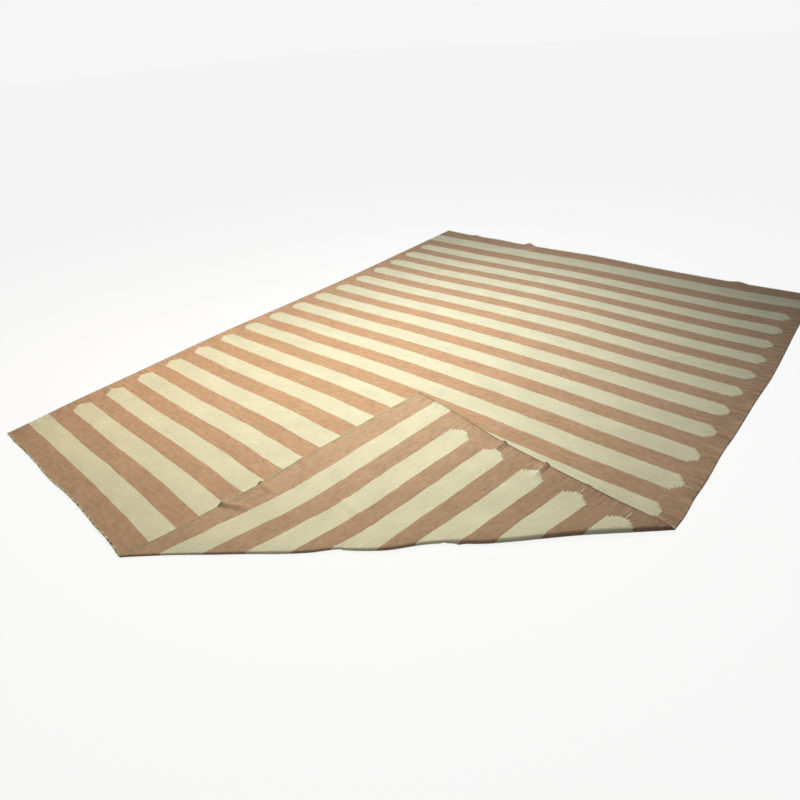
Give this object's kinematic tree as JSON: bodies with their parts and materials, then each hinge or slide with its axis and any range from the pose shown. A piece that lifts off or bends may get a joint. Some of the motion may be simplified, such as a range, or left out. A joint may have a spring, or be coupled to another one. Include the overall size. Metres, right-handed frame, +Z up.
{
  "type": "dhurrie rug",
  "caption": "Room-size flat-woven cotton rug with cream bars on a tan ground, lying on the floor with one corner turned back over itself.",
  "frame": {"origin": "on the floor, under the middle of the box that holds the rug as it lies", "axes": "+X across the rug to the selvedge with the turned corner, +Y along it to the far end, +Z up"},
  "size_m": [3.104, 4.3076, 0.0393],
  "materials": {
    "woven_cotton": "matt flat weave, cream bars on dusty tan"
  },
  "bodies": {
    "root": {"rug": "woven_cotton"}
  },
  "joints": []
}
